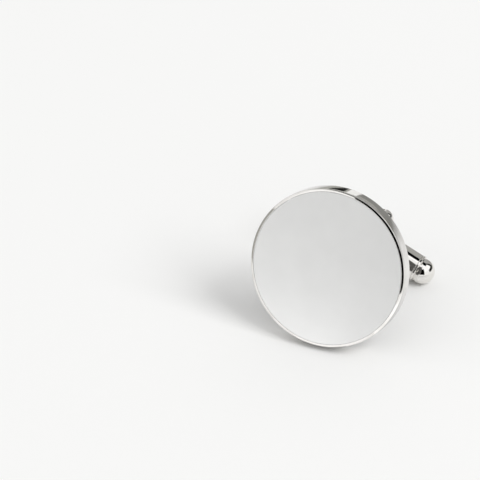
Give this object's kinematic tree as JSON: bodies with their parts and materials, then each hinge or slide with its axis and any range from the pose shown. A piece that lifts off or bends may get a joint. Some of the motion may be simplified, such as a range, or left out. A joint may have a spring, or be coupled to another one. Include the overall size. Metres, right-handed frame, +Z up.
{
  "type": "cufflink",
  "caption": "Round cufflink: a satin disc in a polished bevelled cup, a forked post behind it and a ball-ended toggle bar that swivels on a riveted pin.",
  "frame": {"origin": "middle of the link's footprint on the table that it leans on, at table height", "axes": "+Z up, -Y the way the face looks (leaning back), +X to the right as the face is looked at"},
  "size_m": [0.018, 0.02, 0.0175],
  "materials": {
    "satin_steel": "fine satin",
    "polished_steel": "mirror polish",
    "spring_steel": "rolled",
    "clear_glue": "clear"
  },
  "bodies": {
    "head": {"face_plate": "satin_steel", "bond_film": "clear_glue", "bezel_cup": "polished_steel", "post_foot": "polished_steel", "post_fork": "polished_steel", "pivot_pin": "polished_steel", "spring_washer_upper": "spring_steel", "spring_washer_lower": "spring_steel"},
    "toggle": {"toggle_bar": "polished_steel", "end_cap_left": "polished_steel", "end_cap_right": "polished_steel"}
  },
  "joints": [
    {"name": "toggle_swivel", "type": "hinge", "parent": "head", "child": "toggle", "pos_m": [0, 0.0076, 0.00365], "axis": [-0.3393, -0.3299, -0.8809], "range_deg": [-90, 90]}
  ]
}
